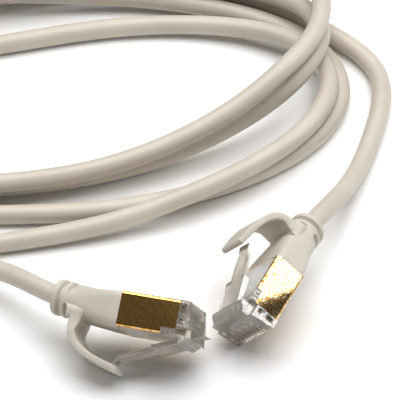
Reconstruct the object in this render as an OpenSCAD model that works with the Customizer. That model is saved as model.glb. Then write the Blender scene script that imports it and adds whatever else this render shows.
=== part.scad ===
// Shielded ethernet patch cable: a loose pile of jacketed cable with an 8P8C plug at each end.
// Millimetres, +Z up, resting on the plane z = 0.  The origin lies under the middle of the two plugs.
// Each plug is drawn once in a frame of its own: +X towards the nose, +Z out of the latch side,
// X = 0 on the front edge of the boot.  It is then turned and lifted to where it lies.

/* [Cable] */
// Outside diameter of the jacket
cable_d = 3.6; // [3:0.1:6]
// Least distance between the axes of two lengths that rest on each other
rest_d = 4.2; // [4:0.1:5]
// Steepest climb of the cable over another length, as rise over run
climb = 0.22; // [0.1:0.01:0.4]

/* [Pile] */
// Middle of the pile in X
pile_x = -19.6; // [-60:0.1:60]
// Middle of the pile in Y
pile_y = 54.6; // [-20:0.1:120]
// Direction at which the wound part starts, in degrees round the pile
wound_from = 30; // [-45:15:45]
// Direction at which the wound part ends, four turns later
wound_to = 1515; // [1440:15:1800]
// Direction of the far end, where one turn hands over to the next
handover = 172; // [150:1:210]
// Half of the stretch that a handover takes, in degrees
handover_half = 85; // [60:1:110]
// How much further out the far end of every turn reaches
far_reach = 20; // [0:1:40]
// How much the far end of every turn opens sideways
far_fan = 16; // [0:1:40]

/* [Plug] */
// Width across the narrow sides
plug_w = 11.7; // [11.6:0.05:11.8]
// Height from the contact side to the latch side
plug_h = 6.5; // [6.4:0.05:6.7]
// Length of the metal shield
shield_l = 11; // [9:0.1:13]
// Thickness of the shield's sheet
shield_t = 0.25; // [0.2:0.05:0.4]
// Length of the nose on the contact side, from the front edge of the boot
nose_low = 12.7; // [12:0.1:14]
// Length of the nose on the latch side
nose_high = 13.9; // [13:0.1:15]
// Distance between two contacts
pitch = 1.02; // [1:0.01:1.05]
// Height between the upper and the lower row of wires
stagger = 0.96; // [0.9:0.02:1.2]

/* [Boot] */
// Length of the boot from its rear ring to its front edge
boot_l = 13.5; // [12:0.1:15]
// Radius of the rear ring
ring_r = 3.35; // [3:0.05:4]
// Radius at the bottom of the grooves
groove_r = 2.5; // [2.3:0.05:3]
// Width of the boot at its front edge
boot_w = 11.9; // [11.7:0.05:12.5]
// How far the cable's axis lies from the middle of the plug, towards the contact side
cable_drop = 0.5; // [0:0.1:1.4]
// How far the collar leans towards the contact side, in degrees
collar_lean = 8; // [0:1:15]
// How far the collar swings towards the left narrow side, in degrees
collar_swing = 10; // [0:1:15]

/* [Latch and guard] */
// Width of the latch at its shoulders
latch_w = 6.2; // [6:0.05:6.6]
// Width of the latch's tail
tail_w = 3.2; // [3:0.05:3.6]
// Thickness of the guard at its root
guard_root_t = 1.5; // [1:0.1:2]
// Thickness of the guard at its tip
guard_tip_t = 1.1; // [0.8:0.05:1.5]
// How far the soft guard of plug A is bent towards its latch, in degrees
guard_bend_a = -4; // [-6:0.5:4]
// How far the soft guard of plug B is bent towards its latch, in degrees
guard_bend_b = 2; // [-6:0.5:4]
// How far the springy latch of plug A stands out from its moulded rest, in degrees
latch_bend_a = 4; // [-6:0.5:6]
// How far the springy latch of plug B stands out from its moulded rest, in degrees
latch_bend_b = -4; // [-6:0.5:6]

/* [Hidden] */
$fn = 32;
PLUG_NODES = ["boot", "latch_guard", "shield", "housing", "latch", "contacts",
              "load_bar", "wires", "crimp_ferrule", "jacket_end"];

// Where each plug lies: the middle of its boot's front edge, and its turn about X, then Y, then Z
plug_a = [[-10.8, -7.04, 9.34], [125.6, -4.7, -17.6]];
plug_b = [[15.5, 3.9, 7.94], [51.3, 6.2, -116.3]];

// Each turn of the pile: centre X and Y from the middle of the pile, half length, half width, heading
turns = [
    [8.7, -10.1, 48.9, 41.4, 7.9],
    [-2.3, -0.9, 50.7, 27.7, 6.9],
    [-1.1, -7.6, 48.4, 25.6, 16.3],
    [-6.7, 2.9, 52.5, 23.5, 12.6],
    [-4.6, 6.2, 50.5, 28.5, 15.8],
];

// Free stretch from the wound part to plug A, between its two straight ends
route_a = [
    [-31.5, 90, 3], [-45.5, 88, 2], [-59.5, 84, 1.83], [-73.5, 77.5, 1.81], [-87.5, 69.5, 1.8],
    [-96.5, 58.5, 1.8], [-99.5, 44.5, 1.8], [-97.5, 31.5, 1.8], [-90, 20.5, 1.8], [-78.5, 13, 1.81],
    [-65.5, 9, 1.85], [-53.5, 9, 2], [-43.5, 11, 3.4], [-36, 8.7, 5.2], [-30.5, 4.3, 7],
];
// Free stretch from plug B to the wound part, between its two straight ends
route_b = [
    [27, 25.5, 5.6], [29.5, 32, 3.4], [31.8, 38.5, 2], [33.5, 45, 1.85],
    [35, 51, 1.81], [35.7, 56.5, 1.8], [35.5, 61, 1.8], [34.6, 65, 1.8],
];

// Cable
floor_z = cable_d / 2;
rings_per_turn = 24;
wound_sides = 6;
free_sides = 8;
round_sides = 24;
free_steps = 2;
settle_passes = 5;
smooth_passes = 2;
stub = cable_d;
seat = 1;

// Stations along the plug
rear_ring = [-boot_l, -boot_l + 1.2];
front_ring = [-boot_l + 2, -boot_l + 2.9];
body_x = -9.5;
waist_x = -5.2;
lip_x = -1.2;
ferrule_x = [-5.8, -1.3];
jacket_x = -1;
fan_x = [0.5, 4.2];
bar_x = [5.2, 8.5];
sleeve_x = 0.3;
latch_open_x = 0.4;
window_x = 8.9;
notch_x = 8.3;
recess_x = [shield_l + 0.25, shield_l + 1.25];
blade_x = [9.6, 12.2];
wire_end_x = 12.1;

// Sections
top = plug_h / 2;
play = 0.05;
inner_w = plug_w - 2 * (shield_t + play);
inner_h = plug_h - 2 * (shield_t + play);
ways = 8;
wire_d = 0.9;
wire_z = 0.35;
blade_t = 0.4;
slot_w = 0.62;
slot_h = 2.1;
flange_w = 0.6;
window_w = 9.2;
notch_h = 1.2;
corner = 0.8;
recess_depth = 0.7;
recess_z = [[-2.5, -0.9], [0.2, 1]];
clearance = 0.1;
bundle_r = 1.34;
ferrule_d = 4.9;
barrel_d = 4.5;
bore_d = cable_d + 2 * play;
body_r = 3.3;
slice = 0.01;
lap = 0.2;
beyond = 5;

// Latch and guard, as X and Z in the plug's frame
latch_hinge = [11.15, top + 0.68];
latch_knuckle_r = 0.55;
latch_t = 1.3;
latch_shoulder = [6.2, top + 2.95];
latch_tail = [-0.5, top + 5.3];
guard_hinge = [-8.65, top - 0.25];
guard_knuckle_r = guard_root_t / 2 + 0.1;
guard_rise = [[0, 0], [-0.15, 4.85], [3.45, 5.85], [10.05, 6.95]];
guard_plan = [[-10.5, 4.3], [-4, 4.1], [1.8, 3]];
guard_steps = 14;
saddle_w = 7.4;
knuckle_gap = 0.1;

// ---- Vectors and frames ----

function unit(v) = v / norm(v);

// A point or direction turned about X, then Y, then Z.
function turned(p, a) = let (
    x = [p[0], p[1] * cos(a[0]) - p[2] * sin(a[0]), p[1] * sin(a[0]) + p[2] * cos(a[0])],
    y = [x[0] * cos(a[1]) + x[2] * sin(a[1]), x[1], x[2] * cos(a[1]) - x[0] * sin(a[1])])
    [y[0] * cos(a[2]) - y[1] * sin(a[2]), y[0] * sin(a[2]) + y[1] * cos(a[2]), y[2]];

// A point of a plug's own frame, in the part's frame.
function placed(p, plug) = plug[0] + turned(p, plug[1]);

// The collar leans and swings about this point on the cable's axis.
collar_pivot = [body_x, 0, -cable_drop];
collar_turn = [0, -collar_lean, collar_swing];

// A point on the collar's own axis, in the plug's frame.
function on_collar(x) = collar_pivot + turned([x - body_x, 0, 0], collar_turn);

module collar_frame() {
    translate(collar_pivot) rotate(collar_turn) translate(-collar_pivot) children();
}

module at_plug(plug) {
    translate(plug[0]) rotate(plug[1]) children();
}

// ---- Shapes in the plug's frame ----

// Extrudes a section drawn as (Y, Z) along +X.
module along(x, length) {
    translate([x, 0, 0]) rotate([90, 0, 90]) linear_extrude(length) children();
}

// Extrudes a side view drawn as (X, Z) over a width centred on Y = 0.
module across(width) {
    translate([0, width / 2, 0]) rotate([90, 0, 0]) linear_extrude(width) children();
}

module rounded(w, h, r) {
    offset(r, $fn = 16) square([w - 2 * r, h - 2 * r], center = true);
}

// A round bar on the cable's axis.
module bar(x, r) {
    translate([x[0], 0, -cable_drop]) rotate([0, 90, 0]) cylinder(r = r, h = x[1] - x[0]);
}

// A pin across the plug at (X, Z).
module pin(at, r, width) {
    translate([at[0], width / 2, at[1]]) rotate([90, 0, 0]) cylinder(r = r, h = width);
}

// A round rod between two points.
module rod(p, q, d) {
    v = q - p;
    translate(p) rotate([0, acos(v[2] / norm(v)), atan2(v[1], v[0])])
        cylinder(d = d, h = norm(v), $fn = 10);
}

// ---- Boot and guard ----

// Round at the collar, flat and wide where it holds the shield.
module boot_body() {
    hull() {
        bar([body_x, body_x + slice], body_r);
        along(waist_x, slice) translate([0, -0.1]) rounded(9.8, 6.35, 2.2);
    }
    hull() {
        along(waist_x, slice) translate([0, -0.1]) rounded(9.8, 6.35, 2.2);
        along(lip_x, slice) rounded(boot_w, plug_h, 0.9);
    }
    along(lip_x, -lip_x) rounded(boot_w, plug_h, 0.9);
}

// Two rings with a groove between them, and slots in front that leave two webs to bend.
module boot_collar() {
    bar([-boot_l, body_x + 0.4], groove_r);
    bar(rear_ring, ring_r);
    bar(front_ring, body_r);
    intersection() {
        bar([front_ring[0], body_x + 0.4], body_r);
        along(front_ring[0], boot_l) translate([0, -cable_drop]) square([3 * body_r, 2.2], center = true);
    }
}

module saddle() {
    across(saddle_w) polygon([
        [guard_hinge[0] - 1.1, 0], [guard_hinge[0] - 1.1, guard_hinge[1] - 0.1],
        [guard_hinge[0] + 1.1, guard_hinge[1] - 0.1], [guard_hinge[0] + 2.2, 0],
    ]);
}

module boot() {
    color("LightGray") difference() {
        union() {
            boot_body();
            collar_frame() boot_collar();
            saddle();
        }
        collar_frame() bar([-boot_l - beyond, body_x + 0.3], bore_d / 2);
        bar([body_x - 0.3, ferrule_x[0]], bore_d / 2);
        bar([ferrule_x[0] - play, beyond], ferrule_d / 2 + play);
        along(-3, beyond) rounded(9.4, 4.4, 1);
        pin(guard_hinge, guard_knuckle_r + knuckle_gap, saddle_w + 2);
    }
}

// A point on the guard's centre line, as (X, Z), and the line's direction there.
function guard_point(t) = let (g = guard_rise) guard_hinge
    + 3 * t * (1 - t) * (1 - t) * g[1] + 3 * t * t * (1 - t) * g[2] + t * t * t * g[3];
function guard_slope(t) = let (g = guard_rise) unit(
    (1 - t) * (1 - t) * (g[1] - g[0]) + 2 * t * (1 - t) * (g[2] - g[1]) + t * t * (g[3] - g[2]));
function guard_edge(t, side) = let (
    d = guard_slope(t),
    h = (guard_root_t * (1 - t) + guard_tip_t * t) / 2)
    guard_point(t) + side * h * [-d[1], d[0]];

// A curved strap over the latch, narrower towards its square tip.
module latch_guard(bend) {
    steps = [for (i = [0:guard_steps]) i / guard_steps];
    hinge = [guard_hinge[0], 0, guard_hinge[1]];
    color("LightGray") translate(hinge) rotate([0, bend, 0]) translate(-hinge) {
        intersection() {
            across(20) polygon(concat(
                [for (t = steps) guard_edge(t, 1)],
                [for (i = [guard_steps:-1:0]) guard_edge(steps[i], -1)]));
            linear_extrude(20) polygon(concat(
                [for (p = guard_plan) p],
                [for (i = [len(guard_plan) - 1:-1:0]) [guard_plan[i][0], -guard_plan[i][1]]]));
        }
        pin(guard_hinge, guard_knuckle_r, saddle_w);
    }
}

// ---- Shield and housing ----

// Folded sheet: open over the latch between two narrow flanges, open over the contacts, and
// notched at the nose, with a barrel behind it for the ferrule.
module shield() {
    color("Goldenrod") difference() {
        union() {
            along(0, shield_l) rounded(plug_w, plug_h, 0.5);
            bar([jacket_x, shield_t], barrel_d / 2);
        }
        along(shield_t, beyond + shield_l) rounded(plug_w - 2 * shield_t, plug_h - 2 * shield_t, 0.3);
        bar([-beyond, beyond], bore_d / 2 + play);
        along(latch_open_x, shield_l) translate([0, top]) square([plug_w - 2 * flange_w, top], center = true);
        along(window_x, shield_l) translate([0, -top]) square([window_w, top], center = true);
        along(notch_x, shield_l) translate([0, top]) square([2 * plug_w, 2 * notch_h], center = true);
    }
}

// The place of one wire, as (Y, Z): upper and lower rows take turns.
function way_yz(i) = [(i - (ways - 1) / 2) * pitch, wire_z + (i % 2 == 0 ? -1 : 1) * stagger / 2];

// Nose side view: a slanted front, with the latch's root on top.
module nose_side() {
    polygon([
        [sleeve_x, -top], [nose_low, -top], [nose_high, top], [13.3, top], [12.2, top + 1],
        [11.7, top + 1.15], [11.7, top], [sleeve_x, top],
    ]);
}

// Inside the sheet, flush in its latch opening, standing out in its notches, and full size in front.
module nose_block() {
    pad_w = plug_w - 2 * (flange_w + play);
    along(0, shield_l) rounded(inner_w, inner_h, 0.3);
    along(latch_open_x + play, shield_l) translate([0, top]) square([pad_w, top], center = true);
    along(notch_x + play, shield_l) translate([0, top]) square([plug_w, 2 * (notch_h - play)], center = true);
    along(shield_l, beyond) square([plug_w, plug_h], center = true);
    along(shield_l - 1, beyond) translate([0, top]) square([latch_w, top], center = true);
}

// A slot for each blade, open to the front and to the contact side, and a bore for each wire.
module ways_cut() {
    slot_x = blade_x[0] - clearance;
    slot_l = blade_x[1] - slot_x - 0.4;
    bore_x = bar_x[1] - 1;
    bore_l = wire_end_x - bore_x + clearance;
    for (i = [0:ways - 1]) {
        way = way_yz(i);
        translate([slot_x, way[0] - slot_w / 2, -plug_h]) cube([2 * beyond, slot_w, top + slot_h]);
        translate([slot_x, way[0] - slot_w / 2, -top]) cube([slot_l, slot_w, top + way[1]]);
        along(bore_x, bore_l) translate(way) circle(d = wire_d + clearance, $fn = 16);
    }
}

// Clear nose, hollow behind for the comb and the fan of wires, with recesses in its narrow sides.
module housing() {
    color([0.85, 0.87, 0.88, 0.5]) difference() {
        intersection() {
            across(plug_w) nose_side();
            nose_block();
        }
        for (side = [-1, 1]) {
            translate([shield_l, side * plug_w / 2 - corner, 1.5]) cube([beyond, 2 * corner, top]);
            for (z = recess_z) {
                translate([recess_x[0], side * plug_w / 2 - recess_depth, z[0]])
                    cube([recess_x[1] - recess_x[0], 2 * recess_depth, z[1] - z[0]]);
            }
        }
        along(-1, bar_x[1] + 1.1) translate([0, wire_z]) square([9, 2.7], center = true);
        along(-1, fan_x[1] + 0.8) translate([0, -0.3]) square([9, 4], center = true);
        ways_cut();
        pin(latch_hinge, latch_knuckle_r + knuckle_gap, plug_w);
    }
}

// Shoulders that catch in a socket, then a narrow tail to press.
module latch(bend) {
    hinge = [latch_hinge[0], 0, latch_hinge[1]];
    crown = latch_hinge + [0, latch_knuckle_r];
    inner = latch_shoulder - [0, latch_t];
    color([0.85, 0.87, 0.88, 0.5]) translate(hinge) rotate([0, bend, 0]) translate(-hinge) {
        across(latch_w) polygon([
            crown, [10.4, top + 1.5], [7.4, top + 2.6], latch_shoulder,
            inner, [10.2, top + 0.4], latch_hinge - [0, latch_knuckle_r],
        ]);
        across(tail_w) polygon([latch_shoulder, latch_tail, latch_tail - [-0.4, latch_t], inner]);
        pin(latch_hinge, latch_knuckle_r, latch_w);
    }
}

// ---- Inside the plug ----

// Gold blades that stand in the housing's slots and reach up to their wires.
module contacts() {
    color("Gold") for (i = [0:ways - 1]) {
        bite = way_yz(i)[1] - wire_d / 2 - 0.02;
        translate([0, way_yz(i)[0], 0]) across(blade_t) polygon([
            [blade_x[0], -2.9], [11.8, -2.9], [blade_x[1], -2.5], [blade_x[1], -1.5], [11.7, -1.35],
            [11.7, bite - 0.5], [11.4, bite], [11.1, bite - 0.5], [10.5, bite - 0.5], [10.2, bite],
            [9.9, bite - 0.5], [blade_x[0], bite - 0.7],
        ]);
    }
}

// A comb that holds the wires in two rows.
module load_bar() {
    color("WhiteSmoke") difference() {
        along(bar_x[0], bar_x[1] - bar_x[0]) translate([0, wire_z]) rounded(8.8, 2.5, 0.3);
        for (i = [0:ways - 1]) {
            along(0, 2 * beyond) translate(way_yz(i)) circle(d = wire_d + clearance, $fn = 16);
        }
    }
}

// Eight wires leave the jacket in a ring and fan out into the comb.
module wires() {
    color("Orange") for (i = [0:ways - 1]) {
        around = (157.5 - 45 * floor(i / 2)) * (i % 2 == 0 ? -1 : 1);
        from = [fan_x[0], bundle_r * cos(around), bundle_r * sin(around) - cable_drop];
        to = [fan_x[1], way_yz(i)[0], way_yz(i)[1]];
        rod([jacket_x, from[1], from[2]], from + [lap, 0, 0], wire_d);
        rod(from, to, wire_d);
        rod(to - [lap, 0, 0], [wire_end_x, to[1], to[2]], wire_d);
    }
}

module crimp_ferrule() {
    color("Silver") difference() {
        bar(ferrule_x, ferrule_d / 2);
        bar([-beyond - 2, beyond], bore_d / 2);
    }
}

// The last of the jacket, held by the boot and the ferrule.
module jacket_end() {
    color("LightGray") tube([on_collar(-boot_l), collar_pivot, [jacket_x, 0, -cable_drop]], round_sides);
}

// ---- Pile of cable ----

function ease(t) = let (u = min(max(t, 0), 1)) u * u * u * (u * (6 * u - 15) + 10);

// Angle from the nearest handover, and how many handovers a direction has behind it.
function from_handover(phi) = phi - handover - 360 * floor((phi - handover + 180) / 360);
function turns_done(phi) = floor((phi - handover + 180) / 360)
    + ease((from_handover(phi) + handover_half) / (2 * handover_half));

// The sizes of the turn that a direction belongs to, blended while one turn hands over to the next.
function turn_sizes(phi) = let (n = turns_done(phi), i = min(floor(n), len(turns) - 2))
    turns[i] + (n - i) * (turns[i + 1] - turns[i]);

// Seen from above, each turn is an ellipse that reaches and fans out at its far end.
function pile_point(phi) = let (
    size = turn_sizes(phi),
    near = abs(from_handover(phi)) / handover_half,
    far = near < 1 ? (1 + cos(180 * near)) / 2 : 0,
    x = size[2] * cos(phi) - far_reach * far,
    y = (size[3] + far_fan * far) * sin(phi))
    [pile_x + size[0] + x * cos(size[4]) - y * sin(size[4]),
     pile_y + size[1] + x * sin(size[4]) + y * cos(size[4])];

// Nearest point to p on the chord from a to b, and the least gap between two chords.
function nearest(p, a, b) = let (v = b - a) a + min(max((p - a) * v / (v * v), 0), 1) * v;
function crosses(a, b, c, d) = cross(b - a, c - a) * cross(b - a, d - a) < 0
    && cross(d - c, a - c) * cross(d - c, b - c) < 0;
function plan_gap(a, b, c, d) = crosses(a, b, c, d) ? 0 : min(
    norm(a - nearest(a, c, d)), norm(b - nearest(b, c, d)),
    norm(c - nearest(c, a, b)), norm(d - nearest(d, a, b)));

// For each chord, the earlier chords that it rests on, with the rise over each.
function supports(plan) = [for (i = [0:len(plan) - 2]) [for (j = [0:1:i - 3])
    let (gap = plan_gap(plan[i], plan[i + 1], plan[j], plan[j + 1]))
    if (gap < rest_d) [j, sqrt(rest_d * rest_d - gap * gap)]]];

function run_of(plan, i = 0, s = 0) = i == len(plan) ? [] : concat([s], run_of(plan, i + 1,
    i == len(plan) - 1 ? s : s + norm(plan[i + 1] - plan[i])));

function smoothed(z, least, passes) = passes == 0 ? z : smoothed(
    [for (i = [0:len(z) - 1]) max(least[i], i == 0 || i == len(z) - 1 ? z[i]
        : (z[i - 1] + 2 * z[i] + z[i + 1]) / 4)],
    least, passes - 1);

// Heights of the rings: each length lies on the floor or on what it crosses, and climbs gently.
function settled(z, run, under, passes) = passes == 0 ? z : let (
    last = len(z) - 1,
    chord = [for (s = [0:last - 1]) max(concat([floor_z],
        [for (u = under[s]) u[1] + max(z[u[0]], z[u[0] + 1])]))],
    ring = [for (i = [0:last]) max(chord[max(i - 1, 0)], chord[min(i, last - 1)])],
    tent = [for (i = [0:last]) max([for (k = [0:last]) ring[k] - climb * abs(run[i] - run[k])])])
    settled(smoothed(tent, ring, smooth_passes), run, under, passes - 1);

function wound_axis() = let (
    plan = [for (phi = [wound_from:360 / rings_per_turn:wound_to]) pile_point(phi)],
    z = settled([for (p = plan) floor_z], run_of(plan), supports(plan), settle_passes))
    [for (i = [0:len(plan) - 1]) [plan[i][0], plan[i][1], z[i]]];

// Adds a straight stub of one diameter at each end.
function with_stubs(axis) = let (n = len(axis) - 1) concat(
    [axis[0] - stub * unit(axis[1] - axis[0])], axis,
    [axis[n] + stub * unit(axis[n] - axis[n - 1])]);

// Least distance between two chords in space, found by stepping from one to the other.
function chord_gap(a, b, c, d, p, steps = 6) = let (q = nearest(p, c, d))
    steps == 0 ? norm(p - q) : chord_gap(a, b, c, d, nearest(q, a, b), steps - 1);
function least_gap(axis) = min([for (i = [4:len(axis) - 2]) for (j = [0:i - 4])
    if (norm(axis[i] - axis[j]) < 30)
    chord_gap(axis[i], axis[i + 1], axis[j], axis[j + 1], (axis[i] + axis[i + 1]) / 2)]) - cable_d;

// A smooth curve through points, with extra points between them.
function curve(p, steps) = let (n = len(p) - 1) concat([for (i = [0:n - 1]) for (s = [0:steps - 1]) let (
    t = s / steps,
    a = p[max(i - 1, 0)], b = p[i], c = p[i + 1], d = p[min(i + 2, n)])
    ((2 * b) + (c - a) * t + (2 * a - 5 * b + 4 * c - d) * t * t + (3 * b - a - 3 * c + d) * t * t * t) / 2],
    [p[n]]);

// One unbroken tube along an axis, with its ends square.
module tube(axis, sides) {
    n = len(axis) - 1;
    points = [for (i = [0:n]) let (
        ahead = unit(axis[min(i + 1, n)] - axis[max(i - 1, 0)]),
        side = unit(cross([0, 0, 1], ahead)),
        up = cross(ahead, side))
        for (k = [0:sides - 1]) let (a = 360 * k / sides)
            axis[i] + cable_d / 2 * (side * cos(a) + up * sin(a))];
    walls = [for (i = [0:n - 1]) for (k = [0:sides - 1]) let (
        a = i * sides + k, b = i * sides + (k + 1) % sides)
        each [[a, a + sides, b], [b, a + sides, b + sides]]];
    ends = [for (k = [1:sides - 2]) each [[0, k, k + 1], [n * sides, n * sides + k + 1, n * sides + k]]];
    polyhedron(points, concat(walls, ends));
}

function length_of(axis) = let (r = run_of(axis)) r[len(r) - 1];

module cable_coil() {
    axis = with_stubs(wound_axis());
    echo(str("coil: least gap to itself ", least_gap(axis), " mm, length ", length_of(axis), " mm"));
    color("LightGray") tube(axis, wound_sides);
}

// Where the cable leaves a plug, and the end of its straight stub.
function leaves(plug) = [placed(on_collar(-boot_l), plug), placed(on_collar(-boot_l - stub), plug)];

module cable_lead_a() {
    wound = wound_axis();
    n = len(wound) - 1;
    from = wound[n] + stub * unit(wound[n] - wound[n - 1]);
    onward = from + seat * unit(wound[n] - wound[n - 1]);
    out = leaves(plug_a);
    axis = concat([from], curve(concat([onward], route_a, [out[1]]), free_steps), [out[0]]);
    echo(str("lead A: length ", length_of(axis), " mm"));
    color("LightGray") tube(axis, free_sides);
}

module cable_lead_b() {
    wound = wound_axis();
    to = wound[0] - stub * unit(wound[1] - wound[0]);
    before = to - seat * unit(wound[1] - wound[0]);
    out = leaves(plug_b);
    axis = concat([out[0]], curve(concat([out[1]], route_b, [before]), free_steps), [to]);
    echo(str("lead B: length ", length_of(axis), " mm"));
    color("LightGray") tube(axis, free_sides);
}

// ---- The part ----

at_plug(plug_a) boot();  // boot_a
at_plug(plug_b) boot();  // boot_b
at_plug(plug_a) latch_guard(guard_bend_a);  // latch_guard_a
at_plug(plug_b) latch_guard(guard_bend_b);  // latch_guard_b
at_plug(plug_a) shield();  // shield_a
at_plug(plug_b) shield();  // shield_b
at_plug(plug_a) housing();  // housing_a
at_plug(plug_b) housing();  // housing_b
at_plug(plug_a) latch(latch_bend_a);  // latch_a
at_plug(plug_b) latch(latch_bend_b);  // latch_b
at_plug(plug_a) contacts();  // contacts_a
at_plug(plug_b) contacts();  // contacts_b
at_plug(plug_a) load_bar();  // load_bar_a
at_plug(plug_b) load_bar();  // load_bar_b
at_plug(plug_a) wires();  // wires_a
at_plug(plug_b) wires();  // wires_b
at_plug(plug_a) crimp_ferrule();  // crimp_ferrule_a
at_plug(plug_b) crimp_ferrule();  // crimp_ferrule_b
at_plug(plug_a) jacket_end();  // jacket_end_a
at_plug(plug_b) jacket_end();  // jacket_end_b
cable_coil();
cable_lead_a();
cable_lead_b();
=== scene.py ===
from math import pi, radians

import bmesh
import bpy
import numpy as np
from mathutils import Euler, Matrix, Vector


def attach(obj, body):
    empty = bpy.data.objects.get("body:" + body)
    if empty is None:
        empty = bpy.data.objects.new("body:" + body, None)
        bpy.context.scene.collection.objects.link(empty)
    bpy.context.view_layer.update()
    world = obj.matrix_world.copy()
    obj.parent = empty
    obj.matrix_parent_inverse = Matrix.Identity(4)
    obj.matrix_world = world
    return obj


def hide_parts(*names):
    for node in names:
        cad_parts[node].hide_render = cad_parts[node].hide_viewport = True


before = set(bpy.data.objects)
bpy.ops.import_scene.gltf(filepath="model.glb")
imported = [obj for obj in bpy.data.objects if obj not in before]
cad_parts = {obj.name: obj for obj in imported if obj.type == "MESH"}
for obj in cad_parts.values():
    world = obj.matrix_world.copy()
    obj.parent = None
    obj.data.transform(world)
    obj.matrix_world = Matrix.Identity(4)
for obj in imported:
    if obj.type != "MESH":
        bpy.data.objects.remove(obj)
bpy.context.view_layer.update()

MM = 0.001

# ---- Sizes, in metres; X is along a plug, Z is out of its latch side ----

CABLE_D = 3.6 * MM
CABLE_R = CABLE_D / 2
REST_D = 3.72 * MM          # axes of two lengths that rest on each other; part.scad has 4.2 mm,
                            # because its chords are coarse, so its upper layers lie higher
CLIMB = 0.22                # slope up to a crossing
JACKET_SIDES = 24

PILE_AT = np.array([-19.6, 54.6]) * MM
WOUND_FROM, WOUND_TO, WOUND_STEP = 30, 1515, 4.0    # degrees
HANDOVER, HANDOVER_HALF = 172, 85                   # degrees: where a turn passes to the next
FAR_REACH, FAR_FAN = 20 * MM, 16 * MM               # how far the far end reaches out and fans
LINE_STEP = 1.2 * MM        # between the points of the cable's line
PLAN_EASE, HEIGHT_EASE = 6.5 * MM, 2.4 * MM
LAID_EVERY = 3              # every third point of the wound line is laid on the others
LEAD_STEPS = 8              # points in each span of a lead

# Each turn: centre X and Y from the pile's middle, half length, half width (mm), heading (degrees)
TURNS = np.array([
    [8.7, -10.1, 48.9, 41.4, 7.9],
    [-2.3, -0.9, 50.7, 27.7, 6.9],
    [-1.1, -7.6, 48.4, 25.6, 16.3],
    [-6.7, 2.9, 52.5, 23.5, 12.6],
    [-4.6, 6.2, 50.5, 28.5, 15.8],
]) * [MM, MM, MM, MM, 1]

# The free stretches: from the pile to plug A, and from plug B to the pile
ROUTE_A = np.array([
    [-31.5, 90, 3], [-45.5, 88, 2], [-59.5, 84, 1.83], [-73.5, 77.5, 1.81], [-87.5, 69.5, 1.8],
    [-96.5, 58.5, 1.8], [-99.5, 44.5, 1.8], [-97.5, 31.5, 1.8], [-90, 20.5, 1.8], [-78.5, 13, 1.81],
    [-65.5, 9, 1.85], [-53.5, 9, 2], [-43.5, 11, 3.4], [-36, 8.7, 5.2], [-30.5, 4.3, 7],
]) * MM
ROUTE_B = np.array([
    [27, 25.5, 5.6], [29.5, 32, 3.4], [31.8, 38.5, 2], [33.5, 45, 1.85],
    [35, 51, 1.81], [35.7, 56.5, 1.8], [35.5, 61, 1.8], [34.6, 65, 1.8],
]) * MM

# Where each plug lies: the middle of its boot's front edge, and its turn about X, then Y, then Z
PLUGS = {
    "a": ((-10.8, -7.04, 9.34), (125.6, -4.7, -17.6)),
    "b": ((15.5, 3.9, 7.94), (51.3, 6.2, -116.3)),
}
TOP = 3.25 * MM             # half of the plug's height
BOOT_L = 13.5 * MM
CABLE_DROP = 0.5 * MM       # the cable's axis below the middle of the plug
BODY_X = -9.5 * MM          # where the boot's body ends and its collar starts
COLLAR_LEAN, COLLAR_SWING = 8, 10                   # degrees
COLLAR_BEND_AT, COLLAR_BEND_L = BODY_X + 0.2 * MM, 1.0 * MM
GUARD_HINGE = np.array([-8.65 * MM, 0, TOP - 0.25 * MM])


# ---- Plug frames ----

def turned(points, angles):
    """Points turned about X, then Y, then Z, by angles in degrees."""
    spin = np.array(Euler([radians(a) for a in angles], "XYZ").to_matrix())
    return np.asarray(points) @ spin.T


def placed(points, side):
    """Points of a plug's own frame, in the part's frame."""
    at, angles = PLUGS[side]
    return turned(points, angles) + np.array(at) * MM


COLLAR_PIVOT = np.array([BODY_X, 0, -CABLE_DROP])


def on_collar(x):
    """The point of the collar's leaning axis at station x, in the plug's frame."""
    return COLLAR_PIVOT + turned([x - BODY_X, 0, 0], (0, -COLLAR_LEAN, COLLAR_SWING))


# ---- Curves ----

def smooth_step(t):
    """0 below 0, 1 above 1, and 3t^2 - 2t^3 between."""
    u = np.clip(t, 0, 1)
    return u * u * (3 - 2 * u)


def unit(v):
    return v / np.linalg.norm(v, axis=-1, keepdims=True)


def run_of(points):
    """Distance along a line of points."""
    return np.r_[0, np.cumsum(np.linalg.norm(np.diff(points, axis=0), axis=1))]


def spaced(points, step):
    """The same line with points at equal distances of about step."""
    run = run_of(points)
    at = np.linspace(0, run[-1], int(round(run[-1] / step)) + 1)
    return np.stack([np.interp(at, run, c) for c in points.T], axis=1)


def relaxed(points, step, reach):
    """The line averaged with a bell of that reach, with its ends and their directions kept."""
    n = int(3 * reach / step)
    bell = np.exp(-0.5 * (np.arange(-n, n + 1) * step / reach) ** 2)
    head = 2 * points[0] - points[n:0:-1]
    tail = 2 * points[-1] - points[-2:-n - 2:-1]
    padded = np.vstack([head, points, tail])
    return np.stack([np.convolve(c, bell / bell.sum(), "valid") for c in padded.T], axis=1)


def eased(points, step, reach):
    """The line relaxed, and what that takes off its bends put back once, so that a steady arc keeps
    its radius and only a tight bend opens."""
    once = relaxed(points, step, reach)
    return once + relaxed(points - once, step, reach)


def through(points, steps):
    """Catmull-Rom curve: cubics whose slope at a point is half the chord between its neighbours."""
    p = np.vstack([points[:1], points, points[-1:]])
    a, b, c, d = p[:-3, None], p[1:-2, None], p[2:-1, None], p[3:, None]
    t = (np.arange(steps) / steps)[None, :, None]
    spans = (2 * b + (c - a) * t + (2 * a - 5 * b + 4 * c - d) * t ** 2
             + (3 * b - a - 3 * c + d) * t ** 3) / 2
    return np.vstack([spans.reshape(-1, points.shape[1]), points[-1:]])


# ---- The cable's route: the pile's turns, laid on each other, and the free stretches ----

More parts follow.
